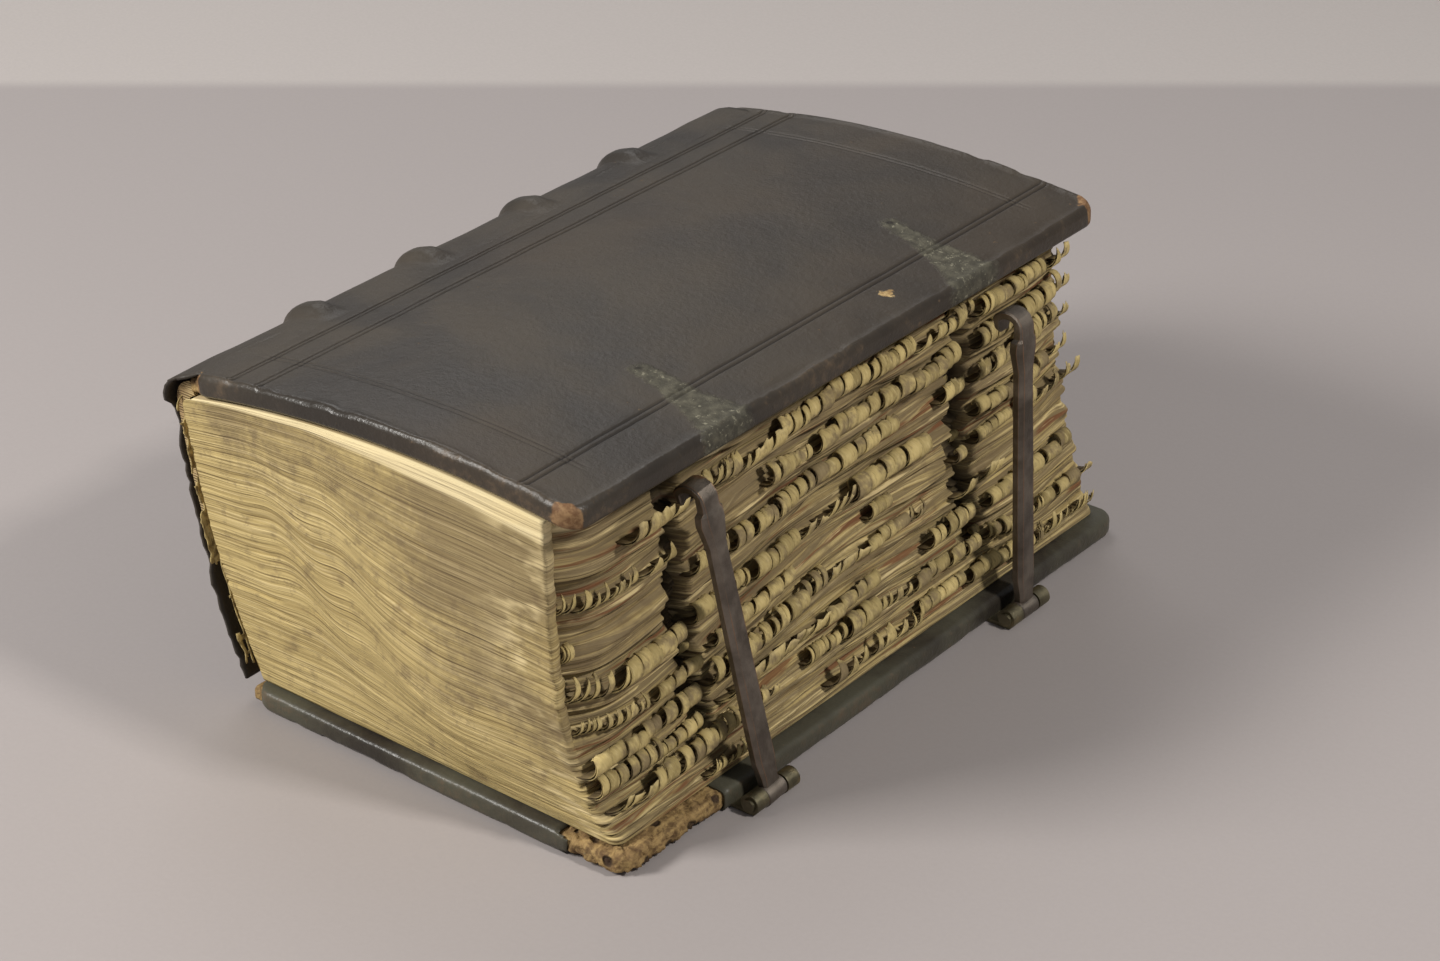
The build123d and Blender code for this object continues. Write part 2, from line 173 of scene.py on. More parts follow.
def direction(azimuth, elevation):
    """From the book towards an eye or a lamp; azimuth 0 is the tail's side and 90 the fore-edge's."""
    a, e = math.radians(azimuth), math.radians(elevation)
    return Vector((math.sin(a) * math.cos(e), -math.cos(a) * math.cos(e), math.sin(e)))


view_azimuth, view_elevation = 38.61, 29.30
eye = bpy.data.objects.new("eye", bpy.data.cameras.new("eye"))
eye.location = Vector((432.0, -534.6, 422.1)) * MM
eye.rotation_euler = direction(view_azimuth, view_elevation).to_track_quat("Z", "Y").to_euler()
eye.data.lens = 84.6
eye.data.sensor_width = 36.0
bpy.context.collection.objects.link(eye)
bpy.context.scene.camera = eye
bpy.context.scene.view_settings.view_transform = "Standard"

table_half = 3.0
back_of_table = 0.325
table_mesh = bpy.data.meshes.new("table")
below_book = -0.2 * MM
corners = [(x * table_half, y * table_half, below_book) for x, y in ((-1, -1), (1, -1), (1, 1), (-1, 1))]
table_mesh.from_pydata(corners, [], [(0, 1, 2, 3)])
table = bpy.data.objects.new("table", table_mesh)
bpy.context.collection.objects.link(table)

paper_sheet = Finish("table_paper", roughness=0.9)
away = direction(view_azimuth, 0)
distance = -away.x * paper_sheet.axis("X") - away.y * paper_sheet.axis("Y")
beyond = distance.above(back_of_table * 1000 - 4, back_of_table * 1000 + 6)
speckle = paper_sheet.noise(900.0, detail=2.0)
sheet_grey = paper_sheet.mix(beyond, (0.325, 0.292, 0.284), (0.43, 0.392, 0.372))
paper_sheet.colour(paper_sheet.mix(speckle * 0.25, sheet_grey, (0.24, 0.22, 0.212)))
table_mesh.materials.append(paper_sheet.material)


def lamp(name, azimuth, elevation, distance, size, watts, warmth=(1.0, 1.0, 1.0)):
    light = bpy.data.lights.new(name, "AREA")
    light.energy = watts
    light.size = size
    light.color = warmth
    holder = bpy.data.objects.new(name, light)
    towards = direction(azimuth, elevation)
    holder.location = towards * distance
    holder.rotation_euler = towards.to_track_quat("Z", "Y").to_euler()
    bpy.context.collection.objects.link(holder)


lamp("left_lamp", -34, 36, 1.3, 0.34, 18.0, (1.0, 0.98, 0.94))
lamp("right_lamp", 95, 46, 1.2, 0.12, 8.2, (1.0, 0.97, 0.92))
lamp("back_left_lamp", 235, 48, 1.3, 0.6, 3.6)

room = bpy.data.worlds.new("room")
room.use_nodes = True
bpy.context.scene.world = room
background = room.node_tree.nodes["Background"]
background.inputs["Color"].default_value = (0.93, 0.95, 1.0, 1.0)
background.inputs["Strength"].default_value = 0.25


# ========================================================================
# The block of leaves: rag paper, sewn on four thongs, with a rounded spine and a top bowed under the cover.
# It has slumped towards the spine and the tail, and damp has cockled the leaves, so that their edges show as
# fine wavy lines that sag towards the fore-edge.
# ========================================================================
block_low, block_high = (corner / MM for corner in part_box("text_block"))
joints = {joint["name"]: joint for joint in frame["joints"]}
lower_joint = Vector(joints["lower_cover_joint"]["pos_m"]) / MM
upper_joint = Vector(joints["upper_cover_joint"]["pos_m"]) / MM
block_foot = block_low.z
slump = 7.5
shoulder = 3.0
spine_top = Vector((upper_joint.x, 0, upper_joint.z - 5.5))
shoulder_centre = Vector((spine_top.x + 0.6, 0, spine_top.z - shoulder))
spine_bow_radius = 226.0
tilt = math.radians(2.4)
cover_crown = 4.5
cover_width = 110.5
half_cover = 95.0
rng = np.random.default_rng(7)
lattice = rng.random((256, 256))


def clouds(x, y, octaves=1, fade=0.5):
    """Smooth random values from 0 to 1 over two numpy coordinates, one lump to a unit."""
    total, weight, share = 0.0, 0.0, 1.0
    for _ in range(octaves):
        cx, cy = np.floor(x).astype(int), np.floor(y).astype(int)
        fx, fy = x - cx, y - cy
        fx, fy = fx * fx * (3 - 2 * fx), fy * fy * (3 - 2 * fy)
        corner = [lattice[(cx + i) % 256, (cy + j) % 256] for i in (0, 1) for j in (0, 1)]
        low, high = corner[0] * (1 - fy) + corner[1] * fy, corner[2] * (1 - fy) + corner[3] * fy
        total = total + share * (low * (1 - fx) + high * fx)
        weight, share = weight + share, share * fade
        x, y = x * 2.03 + 17.7, y * 2.03 + 31.3
    return total / weight


def step(x, low, high):
    """0 below low, 1 above high and smooth between."""
    t = np.clip((x - low) / (high - low), 0, 1)
    return t * t * (3 - 2 * t)


def piece(name, grids, body, finish, stands_for=(), merge=0.02, thickness=0.0, crease=None):
    """One object from grids of points in millimetres, each with its own values to store per point.

    A grid may store "gone": faces that touch a point where it is 1 are left out. With no body the piece
    isn't made to ride."""
    vertices, faces, values = [], [], {}
    for points, stored in grids:
        rows, columns = points.shape[:2]
        first = len(vertices)
        stored = dict(stored)
        gone = np.broadcast_to(stored.pop("gone", np.zeros((rows, columns))), (rows, columns)) > 0.5
        lost = gone[:-1, :-1] | gone[1:, :-1] | gone[:-1, 1:] | gone[1:, 1:]
        vertices.extend((points.reshape(-1, 3) * MM).tolist())
        for key, value in stored.items():
            values.setdefault(key, np.zeros(0))
            missing = first - len(values[key])
            flat = np.broadcast_to(value, (rows, columns)).reshape(-1)
            values[key] = np.concatenate([values[key], np.zeros(missing), flat])
        for r in range(rows - 1):
            start = first + r * columns
            kept = [start + c for c in range(columns - 1) if not lost[r, c]]
            faces.extend((c, c + 1, c + 1 + columns, c + columns) for c in kept)
    mesh = bpy.data.meshes.new(name)
    mesh.from_pydata(vertices, [], faces)
    for key, value in values.items():
        value = np.concatenate([value, np.zeros(len(vertices) - len(value))])
        mesh.attributes.new(key, "FLOAT", "POINT").data.foreach_set("value", value.astype(np.float32))
    if merge:
        work = bmesh.new()
        work.from_mesh(mesh)
        bmesh.ops.remove_doubles(work, verts=work.verts, dist=merge * MM)
        bmesh.ops.recalc_face_normals(work, faces=work.faces)
        bmesh.ops.delete(work, geom=[v for v in work.verts if not v.link_faces], context="VERTS")
        work.to_mesh(mesh)
        work.free()
    mesh.shade_smooth()
    if crease:
        mesh.set_sharp_from_angle(angle=math.radians(crease))
    made = bpy.data.objects.new(name, mesh)
    bpy.context.collection.objects.link(made)
    if thickness:
        solid = made.modifiers.new("thickness", "SOLIDIFY")
        solid.thickness = thickness * MM
        solid.offset = -1.0
    mesh.materials.append(finish.material)
    if body:
        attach(made, body)
    if stands_for:
        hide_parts(*stands_for)
    return made


def bow(along, depth=0.0):
    """Height of a layer of the upper cover over the line between its two long edges."""
    radius = (cover_width**2 / 4 + cover_crown**2) / (2 * cover_crown)
    return np.sqrt((radius - depth) ** 2 - (along - cover_width / 2) ** 2) - (radius - cover_crown)


def on_upper_cover(along, y, depth):
    """A point of the upper cover from its joint edge, along its width and down into its thickness."""
    height = bow(along, depth)
    x = upper_joint.x + along * math.cos(tilt) - height * math.sin(tilt)
    z = upper_joint.z + along * math.sin(tilt) + height * math.cos(tilt)
    return np.stack(np.broadcast_arrays(x, y, z), -1)


block_height = spine_top.z - block_foot
fore_foot_x = block_high.x
fore_hollow = 4.2
top_reach = 104.5
page_gap = 5.5


def spine_x(z):
    """The spine's line: a long arc, then a tight one over the shoulder."""
    outermost = shoulder_centre.x - shoulder
    long_arc = outermost + spine_bow_radius
    long_arc = long_arc - np.sqrt(spine_bow_radius**2 - (shoulder_centre.z - z) ** 2)
    rise = np.clip(z - shoulder_centre.z, 0, shoulder)
    tight_arc = shoulder_centre.x - np.sqrt(shoulder**2 - rise**2)
    return np.where(z < shoulder_centre.z, long_arc, tight_arc)


def in_block(across, up, y_share):
    """A point of the block: across from the spine, up from the foot and from the tail to the head."""
    top = on_upper_cover(across * top_reach, 0.0, page_gap)
    z = block_foot + up * (top[..., 2] - block_foot)
    left = spine_x(block_foot + up * block_height)
    right = fore_foot_x + (top_right.item(0) - fore_foot_x) * up - 4 * fore_hollow * up * (1 - up)
    x = left + (right - left) * across
    y = (block_low.y + slump) + (block_high.y - block_low.y - slump) * y_share - slump * up
    return np.stack(np.broadcast_arrays(x, y, z), -1)


top_right = on_upper_cover(np.array(top_reach), 0.0, page_gap)

# The wall of edges runs along the tail, round the corner, along the fore-edge and back along the head.
tail_columns, tail_corner_columns, fore_columns, head_corner_columns, head_columns = 120, 14, 250, 8, 60
rows_up = 190
block_length = block_high.y - block_low.y - slump


def smooth_run(start, stop, count):
    return np.linspace(start, stop, count, endpoint=False)


# Each column's place round the plan: how far across and along, and which way it faces. A corner's turn is
# given as shares of the block's width and length.
tail_turn, head_turn = (0.026, 0.015), (0.025, 0.015)
tail_stop, head_stop = 0.974, 0.985
plan = [(across, 0.0, 0, -1) for across in smooth_run(0, tail_stop, tail_columns)]
for turn in np.radians(smooth_run(-90, 0, tail_corner_columns)):
    cos, sin = math.cos(turn), math.sin(turn)
    plan.append((tail_stop + tail_turn[0] * cos, tail_turn[1] + tail_turn[1] * sin, cos, sin))
plan += [(1.0, along, 1, 0) for along in smooth_run(tail_turn[1], head_stop, fore_columns)]
for turn in np.radians(smooth_run(0, 90, head_corner_columns)):
    cos, sin = math.cos(turn), math.sin(turn)
    plan.append((1 - head_turn[0] + head_turn[0] * cos, head_stop + head_turn[1] * sin, cos, sin))
plan += [(across, 1.0, 0, 1) for across in np.linspace(1 - head_turn[0], 0, head_columns)]
plan = np.array(plan)
across, along, facing_x, facing_y = (plan[:, k][None, :] for k in range(4))
up = np.linspace(0, 1, rows_up)[:, None]
block_width = 110
run = np.hypot(np.diff(plan[:, 0]) * block_width, np.diff(plan[:, 1]) * block_length)
run = np.cumsum(np.r_[0, run])[None, :]

# The leaves sag towards the fore-edge's tail corner, and ripple on the way.
sag = 14.0 * step(across, 0.18, 0.70) * (1 - 0.75 * step(along, 0.02, 0.5)) * (1 - step(along, 0.9, 1.0))
ripple_place = np.exp(-(((across - 0.33) / 0.15) ** 2)) * (along < 0.5)
ripple = 1.7 * np.sin(across * 26 + up * 5.0) * ripple_place * np.exp(-(((up - 0.55) / 0.28) ** 2))
drift = 2.2 * (clouds(run / 34 + 3, up * 2.4, 1) - 0.5) + 0.3 * (clouds(run / 13 + 9, up * 7, 1) - 0.5)
wave = np.sin(np.pi * up) * (-sag + drift * 1.3) + ripple
leaf = up * block_height + 0 * across

wall = in_block(across + 0 * up, up + 0 * across, along + 0 * up)
wall[..., 2] += wave

fine = clouds(run / 19 + 40, leaf / 0.55, 2)
coarse = clouds(run / 34 + 80, leaf / 2.3, 2)
on_fore_edge = np.clip(facing_x, 0, 1)
relief = (0.10 + 1.0 * on_fore_edge) * (fine - 0.5) * 2 + (0.35 + 1.9 * on_fore_edge) * (coarse - 0.5)
gap = clouds(run / 15 + 12, leaf / 1.1, 1)
relief -= 0.8 * step(gap, 0.82, 0.95) * np.exp(-(((up - 0.5) / 0.3) ** 2))
# Beside each clasp the curls are crushed away, which leaves a hollow; its colour is darkened to near black
# as painted shade. A clasp's line is where its foot is and how far the bar sways towards the tail,
# in degrees.
near_clasp_line, far_clasp_line = (-51.0, 5.5), (47.0, 0.0)


def beside_clasp(y, z):
    """1 in the hollow on the tail's side of a clasp, ragged at its edges, and 0 away from it."""
    hollow = 0 * y
    for foot_y, sway in (near_clasp_line, far_clasp_line):
        from_bar = foot_y - math.tan(math.radians(sway)) * z - y
        ragged = 3.5 * (clouds(y * 0 + foot_y, z / 5, 2) - 0.4)
        far_side = step(from_bar, 4.5 + ragged, 6.5 + ragged)
        hollow = np.maximum(hollow, step(from_bar, -1.5, 1.0) * (1 - far_side))
    return hollow * step(z, 12, 20)


hollow = beside_clasp(wall[..., 1], wall[..., 2])
relief -= 4.6 * hollow * (0.5 + 0.7 * (clouds(run / 2.2, leaf / 2.6, 2) > 0.46)) * on_fore_edge
worn_corner = 6.0 * np.exp(-((along / 0.045) ** 2)) * step(across, 0.8, 1.0) * step(up, 0.34, 0.62)
at_turn = np.exp(-(((run - run[0, tail_columns + tail_corner_columns // 2]) / 7.0) ** 2))
relief += at_turn * (1.3 * (coarse - 0.5) + 0.9 * (fine - 0.5) - 0.4)
relief = relief * np.clip(np.minimum(up, 1 - up) * 30, 0, 1) - worn_corner * on_fore_edge

# Rows of curled edges: where each row starts up the block, and how far the leaves stand back there.
row_count = 9


def row_height(row, along_share):
    """Where a row of curls is rooted, in millimetres of leaves from the foot."""
    middle = 4.2 + 7.6 * row
    return middle + 3.4 * (clouds(along_share * 6 + row * 3.1, along_share * 0 + row * 7.7, 2) - 0.5)


for row in range(row_count):
    root = row_height(row, along)
    notch = step(leaf, root - 0.2, root + 0.5) * (1 - step(leaf, root + 3.4, root + 4.6))
    relief -= 1.5 * notch * on_fore_edge

wall[..., 0] += relief * facing_x
wall[..., 1] += relief * facing_y

pale_end = np.exp(-(((run - run[0, tail_columns] + 6.0) / 9.0) ** 2)) + 0 * up
leaves_grids = [(wall, {"leaf": leaf, "run": run + 0 * up, "fore": on_fore_edge + 0 * up,
                        "hollow": hollow * on_fore_edge, "pale_end": pale_end})]
# The outer pages: rings that shrink from the wall's own edge to the middle of the spine.
shrink = np.r_[1.0, 0.99, np.linspace(0.9, 0, 8)][:, None]
rim = (shrink == 1.0) * 1.0
for level in (0, -1):
    page = in_block(across * shrink, up[level] + 0 * shrink, 0.5 + (along - 0.5) * shrink)
    page[0] = wall[level]
    stored = {"leaf": leaf[level, 0], "run": run + 0 * rim, "fore": on_fore_edge * rim}
    stored |= {"hollow": (hollow * on_fore_edge)[level] * rim, "pale_end": pale_end[level] * rim}
    stored["page"] = 1 - rim + 0 * run
    leaves_grids.append((page, stored))
back_up, back_along = np.linspace(0, 1, 40)[:, None], np.linspace(0, 1, 60)[None, :]
folds = in_block(0 * (back_up + back_along), back_up + 0 * back_along, back_along + 0 * back_up)
leaves_grids.append((folds, {"leaf": back_up * block_height + 0 * back_along, "run": 300.0, "fore": 0.0}))

paper = Finish("rag_paper", roughness=0.88, Specular_IOR_Level=0.25)
leaf_at, run_at, fore_at = (paper.attribute(name) for name in ("leaf", "run", "fore"))
x_at = paper.axis("X")


def along_leaves(per_run, per_leaf, shift, detail, roughness=0.55):
    """Noise drawn out along the edges of the leaves, at so many lumps per millimetre each way."""
    place = paper.vector(run_at * per_run, leaf_at * per_leaf, shift)
    return paper.noise(1.0, place, detail, roughness)


threads = along_leaves(0.020, 2.3, 0.0, 2.6, 0.62)
bands = along_leaves(0.014, 0.8, 4.0, 3.0, 0.6)
stains = paper.noise(26.0, detail=4.0, roughness=0.6, distortion=0.6)
blots = paper.noise(75.0, detail=3.0, roughness=0.6)
streaks = along_leaves(0.022, 1.5, 14.0, 5.0, 0.7)
old = paper.mix(bands.above(0.28, 0.72), (0.36, 0.265, 0.105), (0.57, 0.44, 0.19))
old = paper.mix(threads.above(0.46, 0.74) * 0.7, old, (0.80, 0.645, 0.34))
old = paper.mix(threads.above(0.45, 0.30) * 0.75, old, (0.16, 0.10, 0.04))
spots = paper.noise(300.0, detail=4.0, roughness=0.7)
old = paper.mix(spots.above(0.54, 0.66) * 0.35, old, (0.23, 0.165, 0.085))
height_share = leaf_at / block_height
grime_place = height_share * 0.75 + (x_at + 60.0) * 0.0028 + (stains - 0.5) * 1.2 + (spots - 0.5) * 0.5
grey_top = grime_place.above(0.50, 0.86) * (1.0 - fore_at * 0.4)
old = paper.mix(grey_top * 0.66, old, (0.175, 0.128, 0.072))
old = paper.mix(grey_top * threads.above(0.52, 0.66) * 0.5, old, (0.42, 0.32, 0.17))
old = paper.mix(blots.above(0.56, 0.72) * 0.4, old, (0.17, 0.115, 0.06))
grey_edges = streaks.above(0.38, 0.56) * fore_at
old = paper.mix(grey_edges * 0.80, old, (0.165, 0.120, 0.066))
rust = along_leaves(0.02, 0.6, 9.0, 4.0, 0.65)
old = paper.mix(rust.above(0.57, 0.64) * fore_at * 0.8, old, (0.17, 0.062, 0.026))
cream = along_leaves(0.024, 0.8, 29.0, 4.0, 0.65)
old = paper.mix(cream.above(0.58, 0.66) * fore_at * 0.8, old, (0.72, 0.57, 0.29))
clean = (height_share + (x_at + 60.0) * 0.00036).above(0.986, 0.996) * bands.above(0.20, 0.40)
old = paper.mix(clean * 0.85, old, (0.84, 0.70, 0.41))
patches = along_leaves(0.05, 0.16, 51.0, 3.0)
old = paper.mix(patches.above(0.50, 0.60) * paper.attribute("pale_end") * 0.75, old, (0.78, 0.63, 0.34))
# Painted shade: the hollows beside the clasps are darkened to near black.
old = paper.mix(paper.attribute("hollow") * 0.85, old, (0.022, 0.014, 0.008))
margin_damp = paper.noise(17.0, detail=5.0, roughness=0.62, distortion=0.8)
foxed = paper.noise(160.0, detail=5.0, roughness=0.7)
leaf_face = paper.mix(margin_damp.above(0.40, 0.66), (0.60, 0.49, 0.29), (0.43, 0.32, 0.165))
leaf_face = paper.mix(foxed.above(0.60, 0.70) * 0.7, leaf_face, (0.27, 0.15, 0.06))
old = paper.mix(paper.attribute("page").above(0.4, 0.9), old, leaf_face)
paper.colour(old)
paper.bump(threads, 0.0005)
paper.bump(bands, 0.0008)
piece("leaves", leaves_grids, "block", paper, ["text_block"])


# ========================================================================
# The curled edges: along the fore-edge the leaves are torn into tabs, row over row, and every tab has
# rolled up on itself like a wood shaving. Each tab here is two layers, one inside the other.
# ========================================================================
def fore_edge_point(row_mm, along_share):
    """The wall's own point at this height of leaves and this share of the fore-edge's length."""
    column = np.argmin(np.abs(plan[:, 1] - along_share) + 10 * (plan[:, 2] < 0.9))
    level = int(np.clip(row_mm / block_height * (rows_up - 1), 0, rows_up - 1))
    return wall[level, column]


curl_grids = []
turn_steps = np.linspace(0, 1, 12)[:, None]
side_steps = np.linspace(-0.5, 0.5, 4)[None, :]
for row in range(row_count):
    place = 0.003 + 0.012 * (row % 3 == 1)
    while place < 0.990:
        together = int(rng.integers(3, 11))
        tube_radius = rng.uniform(1.7, 2.7)
        tube_sweep = rng.uniform(205, 300)
        slant = rng.uniform(0.4, 1.5)
        tab_width = rng.uniform(1.3, 4.4)
        proud = rng.uniform(-0.5, 0.7)
        missing = rng.random() < 0.13
        flattened = rng.random() < 0.16
        pointed = rng.random() < 0.24
        for _ in range(together):
            width = tab_width * rng.uniform(0.55, 1.5)
            share = place + width / 2 / block_length
            slit = rng.uniform(-0.15, 0.2) if rng.random() < 0.86 else rng.uniform(0.5, 1.6)
            place += (width + slit) / block_length
            far_end = share > 0.972
            if share > 0.99 or (missing and not far_end):
                continue
            root = fore_edge_point(row_height(row, np.array(share)), share)
            crushed = float(beside_clasp(np.array(root[1]), np.array(root[2])))
            radius = tube_radius * rng.uniform(0.88, 1.14)
            sweep = tube_sweep + rng.uniform(-22, 22)
            taper = rng.uniform(0.0, 0.10)
            if pointed:
                sweep, taper = rng.uniform(120, 215), rng.uniform(0.45, 0.95)
            if flattened:
                radius, sweep = radius * 1.35, rng.uniform(95, 140)
            if crushed > 0.4:
                if rng.random() < 0.7:
                    continue
                radius, sweep = radius * 0.7, rng.uniform(300, 420)
            if far_end:
                radius, sweep, taper = rng.uniform(2.0, 2.9), rng.uniform(100, 150), 0.5
            tone = np.clip(rng.normal(0.5, 0.25), 0, 1)
            for layer in range(2):
                angle = np.radians(-96 + (sweep - 24 * layer) * turn_steps)
                spiral = (radius - 0.42 * layer) * (1 - 0.20 * turn_steps)
                wobble = 0.10 * rng.standard_normal((1, 4))
                x = root[0] + 1.05 + proud + spiral * np.cos(angle) + wobble * turn_steps
                z = root[2] + radius + spiral * np.sin(angle) + 0.12 * layer + 0 * side_steps
                y = root[1] + side_steps * width * (1 - taper * turn_steps) + slant * turn_steps * radius
                y = y + 0.14 * side_steps * layer
                z = z + 0.35 * rng.standard_normal((1, 4)) * step(turn_steps, 0.75, 1.0)
                curl = np.stack(np.broadcast_arrays(x, y, z), -1)
                anchor = curl[:1].copy()
                anchor[..., 0] = root[0] - 1.6
                anchor[..., 2] = root[2] - 0.2
                curl = np.concatenate([anchor, curl])
                length = np.linspace(0, 1, len(curl))[:, None] + 0 * side_steps
                inner = 0.55 if layer else 0.0
                curl_grids.append((curl, {"tone": tone, "length": length, "inner": inner}))
        place += rng.uniform(0.0, 1.6) / block_length

curled = Finish("curled_paper", roughness=0.8, Specular_IOR_Level=0.3)
tone_at, length_at, inner_at = (curled.attribute(name) for name in ("tone", "length", "inner"))
fibre_place = curled.vector(curled.axis("Y") * 1.4, curled.axis("Z") * 0.5, tone_at * 40.0)
fibres = curled.noise(1.0, fibre_place, detail=4.0)
dirt = curled.noise(120.0, detail=4.0, roughness=0.65)
skin = curled.mix(tone_at, (0.27, 0.205, 0.082), (0.60, 0.465, 0.195))
skin = curled.mix(fibres.above(0.48, 0.74) * 0.5, skin, (0.66, 0.53, 0.26))
skin = curled.mix(fibres.above(0.46, 0.30) * 0.5, skin, (0.19, 0.13, 0.055))
skin = curled.mix(dirt.above(0.46, 0.62) * 0.75, skin, (0.165, 0.120, 0.070))
# Painted highlight: the end of each tab, which lies on top of its roll, is made paler.
skin = curled.mix(length_at.above(0.80, 1.0) * 0.6, skin, (0.66, 0.52, 0.25))
# Painted shade: the root of each tab and the underside of its roll are darkened to near black.
skin = curled.mix(length_at.above(0.36, 0.06) * 0.9, skin, (0.045, 0.028, 0.012))
# Painted shade: the inner layer of each roll is darker, for the shade inside the roll.
skin = curled.mix(inner_at * 0.9, skin, (0.13, 0.09, 0.04))
curled.colour(skin)
curled.bump(fibres, 0.0003)
piece("curled_edges", curl_grids, "block", curled, merge=0, thickness=0.16)


# ========================================================================
# The wooden boards, with the sewing's slips laced in and pegged, and paper pasted inside. The lower one
# shows its worm-eaten wood at the tail corner of the fore-edge, where the leather is torn off.
# ========================================================================
nodes = frame["nodes"]


def dress(finish, *names):
    """Gives CAD pieces this finish."""
    for name in names:
        nodes[name].data.materials.clear()
        nodes[name].data.materials.append(finish.material)


wood = Finish("worm_eaten_wood", roughness=0.82, Specular_IOR_Level=0.3)
grain_place = wood.vector(wood.axis("X") * 0.7, wood.axis("Y") * 0.07, wood.axis("Z") * 0.7)
grain = wood.noise(1.0, grain_place, detail=5.0, roughness=0.62, distortion=0.4)
crumbs = wood.noise(420.0, detail=5.0, roughness=0.7)
holes = wood.cells(190.0).above(0.30, 0.16)
tan = wood.mix(grain.above(0.3, 0.72), (0.165, 0.098, 0.040), (0.40, 0.27, 0.11))
tan = wood.mix(crumbs.above(0.54, 0.36) * 0.75, tan, (0.085, 0.045, 0.02))
# Painted shade: the worm holes are darkened to near black, and the bump sinks them.
wood.colour(wood.mix(holes * 0.9, tan, (0.035, 0.018, 0.01)))
wood.bump(crumbs, 0.0007)
wood.bump(1.0 - holes, 0.0010)
dress(wood, "lower_board", "upper_board", "lower_pegs", "upper_pegs")

# The torn corner's crumbled wood: a rough crust from the board's top face, over its edge and underneath.
crust_inset = (9.0, 7.0, 5.0, 3.5, 2.4, 1.4, 0.6, 0.1, 0.0, 0.0, 0.0, 0.1, 0.7, 1.8, 3.2)
crust_depth = (4.75, 4.8, 4.8, 4.8, 4.75, 4.7, 4.5, 4.0, 3.3, 2.4, 1.6, 1.0, 0.75, 0.7, 0.7)
skin_thickness = 0.9
board_corner = Vector((lower_joint.x + cover_width - skin_thickness, -half_cover + skin_thickness))
corner_turn = 4.2
crust_step = 0.55
crust = []
edge_line = [(-19.0 + crust_step * k, 0.0, 0.0, -1.0) for k in range(27)]
edge_line = [spot for spot in edge_line if spot[0] < -corner_turn]
for turn in np.radians(np.linspace(-90, 0, 12)):
    cos, sin = math.cos(turn), math.sin(turn)
    edge_line.append((-corner_turn + corner_turn * cos, corner_turn + corner_turn * sin, cos, sin))
edge_line += [(0.0, corner_turn + crust_step * k, 1.0, 0.0) for k in range(1, 58)]
for number, (edge_x, edge_y, out_x, out_y) in enumerate(edge_line):
    fade_in = min(1.0, number / 5, (len(edge_line) - 1 - number) / 7)
    column = []
    for inset, deep in zip(crust_inset, crust_depth):
        limit = min(inset, corner_turn * 0.96) if 0 < abs(out_x) < 1 else inset
        x, y = board_corner.x + edge_x - out_x * limit, board_corner.y + edge_y - out_y * limit
        column.append((x, y, deep, fade_in))
    crust.append(column)
crust = np.array(crust)
spread = crust[..., 0] + crust[..., 1] * 1.3
lumps = clouds(spread / 1.5 + 4, crust[..., 2] / 1.4 + 50 + crust[..., 1] / 3.1, 3)
lumps = np.where(lumps < 0.40, lumps - 0.22, lumps)
out_x = np.array([spot[2] for spot in edge_line])[:, None]
out_y = np.array([spot[3] for spot in edge_line])[:, None]
push = (1.9 * (lumps - 0.42)) * crust[..., 3] - 0.5 * (1 - crust[..., 3])
on_side = np.clip((1.2 - np.array(crust_inset)) / 1.2, 0, 1)[None, :]
on_top = (1 - on_side) * np.sign(np.array(crust_depth) - 2.5)[None, :]
crust_x, crust_y = crust[..., 0] + out_x * push * on_side, crust[..., 1] + out_y * push * on_side
crust_z = np.maximum(crust[..., 2] + np.minimum(push, 0.55) * on_top, 0.05)
crust_grid = np.stack([crust_x, crust_y, crust_z], -1)
piece("crumbled_corner", [(crust_grid, {})], "lower_cover", wood, thickness=0.5)

pasted = Finish("pasted_paper", roughness=0.9, Specular_IOR_Level=0.25)
foxing = pasted.noise(60.0, detail=5.0, roughness=0.62)
laid_lines = (pasted.axis("Y") * 5.2).math("SINE") * 0.5 + 0.5
aged = pasted.mix(foxing.above(0.35, 0.7), (0.55, 0.45, 0.27), (0.36, 0.26, 0.13))
pasted.colour(pasted.mix(laid_lines * 0.12, aged, (0.30, 0.22, 0.12)))
pasted.bump(foxing, 0.0002)
dress(pasted, "lower_pastedown", "upper_pastedown")


# ========================================================================
# The sewing: alum-tawed thongs across the spine with linen linings between them, laced into the boards,
# and an endband worked at each end, of which the tail one is mostly gone.
# ========================================================================
tawed = Finish("tawed_thongs", roughness=0.78)
hair = tawed.noise(1.0, tawed.vector(tawed.axis("X"), tawed.axis("Y") * 2.5, tawed.axis("Z")), detail=5.0)
tawed.colour(tawed.mix(hair.above(0.35, 0.7), (0.40, 0.29, 0.15), (0.60, 0.49, 0.31)))
tawed.bump(hair, 0.0003)
dress(tawed, "lower_thong_slips", "upper_thong_slips")
dress(tawed, *[f"sewing_thong_{number}" for number in range(1, 5)])

linen = Finish("lining_linen", roughness=0.92)
warp = (linen.axis("Y") * 9.0).math("SINE")
weft = (linen.axis("Z") * 9.0).math("SINE")
glue = linen.noise(80.0, detail=4.0)
cloth = linen.mix((warp * weft) * 0.5 + 0.5, (0.30, 0.20, 0.085), (0.50, 0.38, 0.19))
linen.colour(linen.mix(glue.above(0.45, 0.7) * 0.6, cloth, (0.22, 0.125, 0.05)))
linen.bump(warp * weft, 0.00025)
dress(linen, "spine_linings", "tail_endband", "head_endband")


